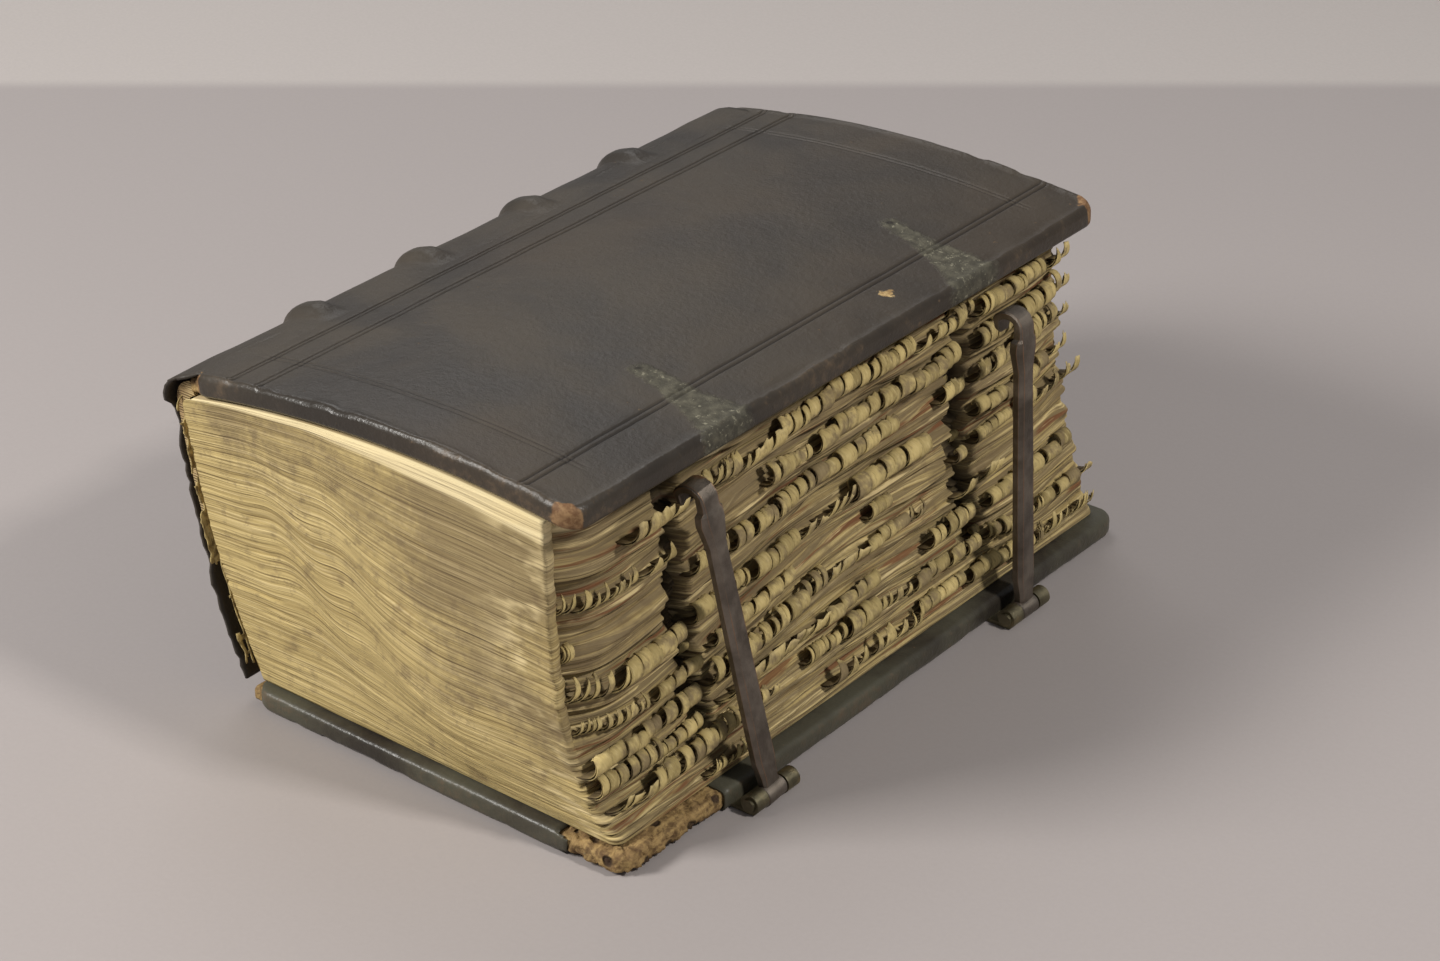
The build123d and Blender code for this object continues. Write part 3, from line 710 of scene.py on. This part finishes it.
# ========================================================================
# The skin: dark tanned calf, pasted over the boards and spine and turned in round the edges. It is dry and
# rubbed: its edges are worn to brown, and scratches and lost specks show paler leather under the dark grain.
# ========================================================================
def skin_of(name, brownness, greenness=0.0):
    """Old calf; brownness is how much of its dark surface has gone, greenness how much is mouldy."""
    calf = Finish(name, roughness=0.5, Specular_IOR_Level=0.26)
    mottle = calf.noise(24.0, detail=5.0, roughness=0.6, distortion=0.4)
    cloud = calf.noise(9.0, detail=3.0)
    pores = calf.noise(900.0, detail=3.0, roughness=0.6)
    specks = calf.noise(430.0, detail=3.0, roughness=0.7)
    scratch_place = calf.vector(calf.axis("X") * 0.9, calf.axis("Y") * 0.05, calf.axis("Z") * 0.9)
    scratches = calf.noise(1.0, scratch_place, detail=6.0, roughness=0.75)
    edge_at, groove_at, ghost_at = (calf.attribute(name) for name in ("edge", "groove", "ghost"))
    chip_at, worn_at = (calf.attribute(name) for name in ("chip", "worn"))
    dark = calf.mix(mottle.above(0.34, 0.66), (0.029, 0.0242, 0.0196), (0.050, 0.0405, 0.0300))
    dark = calf.mix(cloud.above(0.42, 0.66) * brownness, dark, (0.047, 0.034, 0.023))
    dark = calf.mix(mottle.above(0.36, 0.60) * greenness, dark, (0.086, 0.083, 0.058))
    dark = calf.mix(groove_at.above(0.3, 1.0) * 0.75, dark, (0.013, 0.011, 0.010))
    dark = calf.mix(specks.above(0.70, 0.76) * 0.45, dark, (0.20, 0.13, 0.07))
    dark = calf.mix(scratches.above(0.70, 0.76) * 0.25, dark, (0.15, 0.13, 0.10))
    rubbed = (edge_at * 0.45 + (specks - 0.5) * 0.9 + (mottle - 0.5) * 1.1).above(0.45, 0.80)
    dark = calf.mix(rubbed * 0.6, dark, (0.125, 0.085, 0.052))
    verdigris = calf.noise(380.0, detail=4.0, roughness=0.7)
    print_mask = (ghost_at + (mottle - 0.5) * 1.1 + (verdigris - 0.5) * 1.0).above(0.36, 0.86)
    print_colour = calf.mix(verdigris.above(0.38, 0.70), (0.050, 0.047, 0.034), (0.112, 0.104, 0.074))
    crust = calf.noise(700.0, detail=4.0, roughness=0.75).above(0.58, 0.66)
    print_colour = calf.mix(crust * 0.75, print_colour, (0.32, 0.30, 0.215))
    dark = calf.mix(print_mask * 0.72, dark, print_colour)
    # Painted shade: the nail hole at the tip of each lost plate is a near-black spot.
    dark = calf.mix(calf.attribute("nail").above(0.35, 0.75) * 0.9, dark, (0.012, 0.009, 0.007))
    torn = (worn_at + (mottle - 0.5) * 0.7 + (specks - 0.5) * 0.3).above(0.50, 0.62)
    torn_colour = calf.mix(specks.above(0.4, 0.62), (0.15, 0.075, 0.032), (0.27, 0.16, 0.075))
    dark = calf.mix(torn * 0.9, dark, torn_colour)
    chip_colour = calf.mix(verdigris.above(0.40, 0.60), (0.24, 0.15, 0.06), (0.46, 0.33, 0.15))
    dark = calf.mix((chip_at + (specks - 0.5) * 1.3).above(0.46, 0.60), dark, chip_colour)
    calf.colour(dark)
    bare = print_mask * 0.28 + torn * 0.3
    grain = mottle.above(0.25, 0.75) * 0.16 + specks.above(0.6, 0.75) * 0.15
    calf.rough(grain + 0.42 + bare - edge_at * 0.16)
    calf.bump(pores, 0.00010)
    calf.bump(mottle, 0.0006)
    calf.bump(specks, 0.00015)
    calf.bump(print_mask * verdigris, 0.0004)
    calf.bump(scratches.above(0.76, 0.68), 0.0001)
    return calf


# Each cover's skin wraps its board. A section runs in from the face over the rounded edge to the turn-in.
corner_round, edge_round, cover_depth = 5.0, 1.5, 5.1
flat_run = corner_round - edge_round
quarter = edge_round * math.pi / 2
side_run = cover_depth - 2 * edge_round
wraps = [0.9, 1.8, 2.7, flat_run]
wraps += [flat_run + quarter * k / 5 for k in range(1, 6)]
wraps += [flat_run + quarter + side_run * k / 2 for k in (1, 2)]
wraps += [flat_run + quarter + side_run + quarter * k / 4 for k in range(1, 5)]
wraps += [wraps[-1] + inward for inward in (1.5, 3.4, 6.5)]


def round_edge(out):
    """How far out from the core and how deep a point of the section is, this far along it."""
    turn = np.clip((out - flat_run) / edge_round, 0, math.pi / 2)
    down = np.clip(out - flat_run - quarter, 0, side_run)
    back = np.clip((out - flat_run - quarter - side_run) / edge_round, 0, math.pi / 2)
    inward = np.clip(out - flat_run - 2 * quarter - side_run, 0, None)
    reach = np.minimum(out, flat_run) + edge_round * np.sin(turn) - edge_round * (1 - np.cos(back)) - inward
    depth = edge_round * (1 - np.cos(turn)) + down + edge_round * np.sin(back)
    return reach, depth


def lines_between(start, stop, spacing, fillets):
    """Grid lines: evenly spaced, and close together where a tooled fillet runs."""
    even = np.linspace(start, stop, int((stop - start) / spacing))
    near = [fillet + offset for fillet in fillets for offset in (-0.7, -0.4, -0.2, 0.0, 0.2, 0.4, 0.7)]
    return np.unique(np.round(np.concatenate([even, near]), 3))


long_fillets = (11.2, 12.6, 19.6, 21.2, cover_width - 15.4, cover_width - 13.8)
end_fillets = (half_cover - 15.6, half_cover - 14.2)
fillet_width = 0.30


def cover_skin(name, body, node, place, finish, marks):
    """Leather over one board; place turns along, y and depth into a point, and marks are its blemishes."""
    inwards, outwards = -np.array(wraps[::-1]), np.array(wraps)
    core = lines_between(corner_round, cover_width - corner_round, 1.5, long_fillets)
    a = np.concatenate([corner_round + inwards, core, cover_width - corner_round + outwards])
    both_ends = [*end_fillets, *(-fillet for fillet in end_fillets)]
    edge = half_cover - corner_round
    b = np.concatenate([-edge + inwards, lines_between(-edge, edge, 1.9, both_ends), edge + outwards])
    a, b = a[:, None] + 0 * b[None, :], b[None, :] + 0 * a[:, None]
    core_a, core_b = np.clip(a, corner_round, cover_width - corner_round), np.clip(b, -edge, edge)
    out_a, out_b = a - core_a, b - core_b
    out = np.maximum(abs(out_a), abs(out_b))
    far = np.maximum(np.hypot(out_a, out_b), 1e-9)
    reach, depth = round_edge(out)
    at_corner = (abs(out_a) > 1e-6) & (abs(out_b) > 1e-6)
    reach = np.where(at_corner, np.maximum(reach, 0.05), reach)
    along_width, y = core_a + out_a / far * reach, core_b + out_b / far * reach
    face = 1 - step(out, flat_run - 0.4, flat_run + 0.8)
    groove = sum(np.exp(-(((along_width - fillet) / fillet_width) ** 2)) for fillet in long_fillets)
    inside = step(along_width, 8, 12) * (1 - step(along_width, cover_width - 12, cover_width - 9))
    across_ends = sum(np.exp(-(((abs(y) - fillet) / fillet_width) ** 2)) for fillet in end_fillets)
    groove = groove + 0.6 * inside * across_ends
    swell = 0.7 * (clouds(along_width / 34 + 5, y / 34 + 60, 2) - 0.5)
    swell = swell + 0.22 * (clouds(along_width / 6 + 9, y / 6 + 60, 2) - 0.5)
    outer = 1 - step(out, flat_run + quarter, flat_run + quarter + side_run)
    wander = 1.1 * (clouds(along_width / 13 + 30, y / 13 + 30, 2) - 0.5)
    lip = 0.42 * np.exp(-(((out - flat_run - 0.3 - wander) / 0.8) ** 2))
    lip = lip * (0.5 + clouds(along_width / 9, y / 9, 1))
    dents = step(clouds(along_width / 4.5 + 70, y / 4.5 + 70, 2), 0.60, 0.80)
    lip = lip - 0.38 * dents * np.exp(-(((out - flat_run) / 2.0) ** 2))
    depth = depth + face * (0.34 * groove) - outer * (swell * 0.6 + lip)
    worn_edge = step(out, flat_run - 1.6, flat_run + 1.0) * (1 - step(out, 9.0, 10.5))
    stored = {"edge": worn_edge, "groove": groove * face, **marks(along_width, y, out)}
    grid = place(along_width, y, np.maximum(depth, -0.6))
    piece(name, [(grid, stored)], body, finish, [node], thickness=0.5)


upper_shift = -4.2
# Each lost plate: its tip's place across the cover and along it, its middle at the edge and its half width.
catch_marks = ((81.5, -45.5, -50.0, 10.0), (80.0, 47.0, 39.5, 11.0))
tip_half = 3.4


def upper_marks(along_width, y, out):
    """Where the lost catch plates lay, where the surface is chipped, and where the corners are rubbed."""
    y = y + upper_shift
    ghost, nail = 0 * y, 0 * y
    for tip, tip_y, edge_y, edge_half in catch_marks:
        nail = np.maximum(nail, np.exp(-((along_width - tip - 1.6) ** 2 + (y - tip_y) ** 2) / 1.6))
        share = np.clip((along_width - tip) / (cover_width - tip), 0, 1)
        middle = tip_y + (edge_y - tip_y) * share
        half = tip_half + (edge_half - tip_half) * share**2.6
        inside = 1 - abs(y - middle) / half
        print_here = np.clip(inside * 1.9 + 0.25, 0, 1) * step(along_width, tip - 4.0, tip + 2.5)
        ghost = np.maximum(ghost, print_here)
    chip = np.exp(-((along_width - 101.3) ** 2 / 5 + (y - 18.6) ** 2 / 4))
    ragged = 0.55 + 0.9 * clouds(along_width / 2.2, y / 2.2 + 90, 2)
    corners = ragged * np.exp(-((along_width - cover_width) ** 2 / 60 + (y + 99.2) ** 2 / 16))
    corners = corners + 1.4 * ragged * np.exp(-((along_width - cover_width) ** 2 + (y - 90.8) ** 2) / 30)
    corners = corners + 0.8 * np.exp(-((along_width) ** 2 + (y + 99.2) ** 2) / 25)
    return {"ghost": ghost, "nail": nail, "chip": chip, "worn": corners}


def lower_marks(along_width, y, out):
    """The torn corner, where the leather is gone from the face and the edge, and rubbed edges."""
    from_tail, from_fore = y + half_cover, cover_width - along_width
    ragged = 3.2 * (clouds(along_width / 4 + 5, y / 4 + 80, 2) - 0.5)
    gone = (from_fore < 9 + ragged) & (from_tail < 32 + 2 * ragged) & (out > 2.0)
    gone |= (from_tail < 5 + ragged) & (from_fore < 16 + 2 * ragged) & (out > 2.0)
    worn = np.exp(-((along_width - cover_width) ** 2) / 260 - from_tail**2 / 500)
    return {"ghost": 0 * y, "chip": 0 * y, "worn": worn, "gone": gone * 1.0}



def on_upper(along_width, y, depth):
    return on_upper_cover(along_width, y + upper_shift, depth)


def on_lower(along_width, y, depth):
    return np.stack([lower_joint.x + along_width, y, np.maximum(depth, 0.0)], -1)


upper_calf, lower_calf = skin_of("cover_calf", 0.5), skin_of("lower_calf", 0.3, greenness=0.75)
cover_skin("upper_skin", "upper_cover", "upper_leather", on_upper, upper_calf, upper_marks)
cover_skin("lower_skin", "lower_cover", "lower_leather", on_lower, lower_calf, lower_marks)

# The spine's skin: raised over the thongs, it turns over the shoulder onto the upper cover.
spine_offset = 5.5
spine_lean, lean_height = 4.2, 78.2
thong_places = [53.6 - 36.4 * number for number in range(4)]
joint_lap = 9.0
outer_spine = []
for level in np.linspace(block_foot + 0.3, shoulder_centre.z, 46):
    slope = math.asin((shoulder_centre.z - level) / spine_bow_radius)
    x = shoulder_centre.x - shoulder + spine_bow_radius - (spine_bow_radius + spine_offset) * math.cos(slope)
    outer_spine.append((x, shoulder_centre.z - (spine_bow_radius + spine_offset) * math.sin(slope)))
outer_shoulder = shoulder + spine_offset
for turn in np.radians(np.linspace(174, 106, 9)):
    x = shoulder_centre.x + outer_shoulder * math.cos(turn)
    outer_spine.append((x, shoulder_centre.z + outer_shoulder * math.sin(turn)))
spine_end = len(outer_spine)
lap_lift = (0.35, 0.32, 0.28, 0.22, 0.16, 0.08, 0.0, -0.15)
for lap, lift in zip(np.linspace(0.4, joint_lap, len(lap_lift)), lap_lift):
    x, _, z = on_upper_cover(np.array(lap), 0.0, -lift)
    outer_spine.append((float(x), float(z)))
outer_spine = np.array(outer_spine)
course = np.r_[0, np.cumsum(np.hypot(*np.diff(outer_spine, axis=0).T))]
outward = np.gradient(outer_spine, axis=0)
outward = np.stack([-outward[:, 1], outward[:, 0]], -1)
outward /= np.linalg.norm(outward, axis=1)[:, None]
past_joint = np.clip(course - course[spine_end], 0, None)
over_thongs = [place + offset for place in thong_places for offset in range(-8, 9)]
y_line = np.unique(np.concatenate([np.linspace(-93.0, 93.0, 150), over_thongs]))
on_spine, across_spine = course[:, None], y_line[None, :]
ridge = sum(np.exp(-(((across_spine - place) / 3.3) ** 4)) for place in thong_places)
fade = 1 - step(past_joint, 0.5, joint_lap - 1.5)[:, None]
rise = 2.0 * ridge * fade + 0.5 * (clouds(on_spine / 14, across_spine / 14 + 30, 2) - 0.5) * fade
end_wear = 1.9 * (clouds(on_spine / 5 + 3, 0 * on_spine + 9, 2) - 0.5)
end_wear = end_wear + 1.1 * (clouds(on_spine / 1.6 + 3, 0 * on_spine + 19, 2) - 0.5)
height_now = outer_spine[:, 1][:, None]
y_skin = across_spine - spine_lean * (height_now - block_foot) / lean_height
cap = step(height_now, 71, 76) * (1 - step(past_joint, 0.0, 1.0)[:, None])
near_tail = step(-across_spine, 86.0, 93.0)
y_skin = y_skin - near_tail * (end_wear + 2.6 * cap)
skin_x = outer_spine[:, 0][:, None] + outward[:, 0][:, None] * rise
skin_grid = np.stack([skin_x, y_skin, height_now + outward[:, 1][:, None] * rise], -1)
at_end = step(abs(across_spine), 90.2, 92.6) + 0 * on_spine
spine_stored = {"edge": 0.35 * ridge + 0 * on_spine, "worn": at_end * 0.42}
spine_calf = skin_of("spine_calf", 0.35)
spine_skin = piece("spine_skin", [(skin_grid, spine_stored)], None, spine_calf,
                   ["spine_leather"], thickness=0.7)
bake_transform(spine_skin)


# In the gap at the tail a strip of the lining hangs torn between the leaves and the spine's skin.
strip_up = np.linspace(9.0, 77.0, 110)[:, None]
strip_out = np.linspace(0, 1, 7)[None, :]
tatter = 2.4 * (clouds(strip_up / 3.1 + 2, 0 * strip_up + 33, 3) - 0.35)
strip_x = spine_x(strip_up) - 0.9 - 1.6 * clouds(strip_up / 8 + 6, 0 * strip_up + 12, 2) - 0.35 * strip_out
strip_slump = slump * (strip_up - block_foot) / block_height * 0.62
strip_y = -91.3 - strip_out * (2.0 + np.maximum(tatter, -1.4)) - strip_slump
strip_x = strip_x + 0.5 * strip_out * (clouds(strip_up / 2.0, strip_out * 2 + 44, 2) - 0.5)
strip_grid = np.stack(np.broadcast_arrays(strip_x, strip_y, strip_up), -1)
tatters = Finish("torn_linen", roughness=0.9)
frayed = tatters.noise(1.0, tatters.vector(tatters.axis("Y") * 0.9, tatters.axis("Z") * 0.5), detail=4.0)
tatters.colour(tatters.mix(frayed.above(0.34, 0.62), (0.17, 0.115, 0.040), (0.52, 0.40, 0.165)))
tatters.bump(frayed, 0.0004)
left_whole = 0.72 - 0.30 * (strip_up < 34) * (strip_out > 0.3)
lost = clouds(strip_up / 4.0 + 8, strip_out * 1.5 + 71, 2) > left_whole
piece("torn_lining", [(strip_grid, {"gone": lost * 1.0})], "block", tatters, thickness=0.25)


# ========================================================================
# The clasps: cast and filed brass bars with hooked ends, on rolled hinge plates that are riveted to the
# lower board. The metal has gone brown all over, and is bare only along its rubbed edges.
# ========================================================================
def brass_of(name, brown, rubbed, by_edges):
    """Tarnished brass, brown on its faces and rubbed bright on its edges."""
    brass = Finish(name, roughness=0.45, Metallic=1.0)
    tarnish = brass.noise(140.0, detail=5.0, roughness=0.65)
    grime = brass.noise(55.0, detail=4.0)
    file_place = brass.vector(brass.axis("X") * 4.0, brass.axis("Y") * 4.0, brass.axis("Z") * 0.35)
    file_marks = brass.noise(1.0, file_place, detail=3.0)
    metal = brass.mix(tarnish.above(0.3, 0.7), brown, tuple(part * 1.9 for part in brown))
    metal = brass.mix(grime.above(0.52, 0.7) * 0.6, metal, (0.055, 0.045, 0.032))
    if by_edges:
        line = brass.attribute("rub") + (tarnish - 0.5) * 0.25
        metal = brass.mix(line.above(0.86, 1.04) * grime.above(0.40, 0.56) * 0.9, metal, rubbed)
    else:
        metal = brass.mix(brass.noise(260.0, detail=3.0).above(0.58, 0.7) * 0.6, metal, rubbed)
    brass.colour(metal)
    brass.rough(tarnish.above(0.3, 0.7) * 0.22 + 0.40)
    brass.bump(file_marks, 0.00012)
    brass.bump(tarnish, 0.00015)
    return brass


bar_brass = brass_of("clasp_bar_brass", (0.135, 0.115, 0.095), (0.34, 0.185, 0.10), True)
knuckle = 2.4
back_bevel = 0.3


def bar_station(path_x, path_z, lean_x, lean_z, width, thick, bevel):
    """One closed section of the bar: across Y and through its thickness, with a rub value per point."""
    half_w, half_t = width / 2, thick / 2
    near_front = [(half_w, half_t - bevel), (half_w - bevel, half_t)]
    near_back = [(half_w - back_bevel, -half_t), (half_w, -half_t + back_bevel)]
    far_front = [(-w, t) for w, t in reversed(near_front)]
    far_back = [(-w, t) for w, t in reversed(near_back)]
    outline = near_front + far_front + far_back + near_back
    points, rubs = [], []
    for corner, following in zip(outline, outline[1:] + outline[:1]):
        for share, rub in ((0.0, 1.0), (0.5, 0.0)):
            w, t = (corner[k] + (following[k] - corner[k]) * share for k in (0, 1))
            points.append((path_x + lean_x * t, w, path_z + lean_z * t))
            rubs.append(rub)
    return points + points[:1], rubs + rubs[:1]


def clasp_bar(name, node, lean, sway):
    """A bar with a knuckle at its foot, a waist and a lobe near its top, and a hook turned inwards."""
    stations = []
    shape = [(1.0, 5.0, 2.2, 0.5), (4.5, 5.2, 2.6, 0.7), (8.5, 6.4, 2.6, 0.9), (25, 6.2, 2.6, 1.0),
             (45, 5.9, 2.6, 1.0), (58, 5.5, 2.6, 1.0), (62.5, 5.4, 2.7, 1.0), (65.5, 6.6, 2.9, 1.1),
             (68.0, 7.6, 3.1, 1.2), (70.2, 7.2, 3.0, 1.0), (71.0, 5.6, 2.4, 0.5), (72.4, 5.5, 2.3, 0.4),
             (73.6, 5.6, 2.2, 0.4)]
    for up_bar, width, thick, bevel in shape:
        stations.append(bar_station(0.0, up_bar, 1.0, 0.0, width, thick, bevel))
    for turn in np.radians([15, 40, 65, 90, 115, 140, 162]):
        bend_x, bend_z = -3.1 + 3.1 * math.cos(turn), 73.6 + 2.5 * math.sin(turn)
        stations.append(bar_station(bend_x, bend_z, math.cos(turn), math.sin(turn), 5.4, 1.9, 0.35))
    stations.append(bar_station(-6.0, 72.2, -1.0, 0.2, 4.6, 1.4, 0.3))
    stations.append(bar_station(-5.7, 71.2, -1.0, 0.2, 3.2, 0.7, 0.2))
    points = np.array([station[0] for station in stations])
    rubs = np.array([station[1] for station in stations])
    rubs[:, 8:] *= 0.5
    rubs[-6:] = np.maximum(rubs[-6:], 0.84)
    caps = [np.stack([points[k], points[k].mean(0) + 0 * points[k]]) for k in (0, -1)]
    round_turn = np.radians(np.linspace(0, 360, 25))
    barrel = []
    for end, radius in ((-3.2, 1.1), (-3.2, 2.1), (-2.9, knuckle), (2.9, knuckle), (3.2, 2.1), (3.2, 1.1)):
        barrel.append([(radius * math.cos(turn), end, radius * math.sin(turn)) for turn in round_turn])
    barrel = np.array(barrel)

    def set_on(grid):
        """Turns the bar about its hinge: first its sway along the edge, then its lean against the block."""
        x, y, z = grid[..., 0], grid[..., 1], grid[..., 2]
        cos, sin = math.cos(math.radians(sway)), math.sin(math.radians(sway))
        y, z = y * cos - z * sin, y * sin + z * cos
        cos, sin = math.cos(math.radians(lean)), math.sin(math.radians(lean))
        x, z = x * cos - z * sin, x * sin + z * cos
        hinge = Vector(joints[name + "_hinge"]["pos_m"]) / MM
        return np.stack([hinge.x + x, hinge.y + y, hinge.z + z], -1)

    barrel_rub = np.array([1, 1, 0.6, 0.6, 1, 1])[:, None]
    grids = [(set_on(points), {"rub": rubs}), (set_on(barrel), {"rub": barrel_rub})]
    grids += [(set_on(cap), {"rub": 0.9}) for cap in caps]
    piece(name + "_bar", grids, name, bar_brass, [node], crease=24, merge=0.005)


clasp_bar("near_clasp", "clasp_near", 9.5, near_clasp_line[1])
clasp_bar("far_clasp", "clasp_far", 3.0, far_clasp_line[1])

hinge_brass = brass_of("hinge_brass", (0.125, 0.11, 0.07), (0.30, 0.24, 0.13), False)
dress(hinge_brass, "hinge_plate_near", "hinge_plate_far", "hinge_pin_near", "hinge_pin_far")
dress(hinge_brass, "hinge_plate_rivets")
